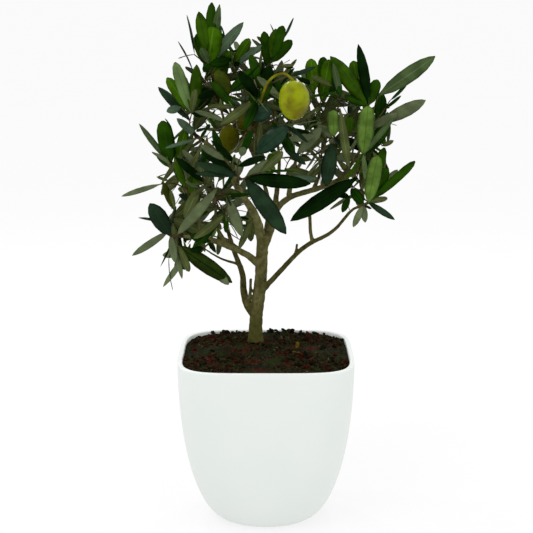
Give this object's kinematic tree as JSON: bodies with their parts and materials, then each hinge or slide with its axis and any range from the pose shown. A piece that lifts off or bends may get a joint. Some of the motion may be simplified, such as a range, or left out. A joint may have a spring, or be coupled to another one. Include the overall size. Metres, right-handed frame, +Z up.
{
  "type": "olive bonsai in a pot",
  "caption": "Small olive tree with a leaning trunk, tapering boughs, narrow opposite leaves and plump olives, in a smooth ceramic pot that opens from a round foot to a rounded square rim.",
  "frame": {"origin": "centre of the flat underside of the pot", "axes": "+Z up along the height of the pot and the tree, -Y towards the viewer of the picture, +X to the viewer's right"},
  "size_m": [0.2212, 0.1925, 0.3834],
  "materials": {
    "pot": "satin",
    "soil": "matte",
    "bark": "matte",
    "foliage": "satin"
  },
  "bodies": {
    "root": {"pot": "pot", "soil": "soil", "trunk": "bark", "upper_left_bough": "bark", "right_bough": "bark", "left_bough": "bark", "low_left_stem": "bark", "low_right_bough": "bark", "back_bough": "bark", "top_left_bough": "bark", "centre_bough": "bark", "centre_right_bough": "bark", "left_rising_bough": "bark", "inner_left_bough": "bark", "front_bough": "bark", "middle_bough": "bark", "right_rising_bough": "bark", "back_right_bough": "bark", "leaves_top_left": "foliage", "leaves_left_upper": "foliage", "leaves_left": "foliage", "leaves_low_left": "foliage", "leaves_inner_left": "foliage", "leaves_front": "foliage", "leaves_middle": "foliage", "leaves_centre_top": "foliage", "leaves_right_top": "foliage", "leaves_right": "foliage", "leaves_low_right": "foliage", "leaves_back_left": "foliage", "leaves_back_top": "foliage", "leaves_back_right": "foliage"}
  },
  "joints": []
}
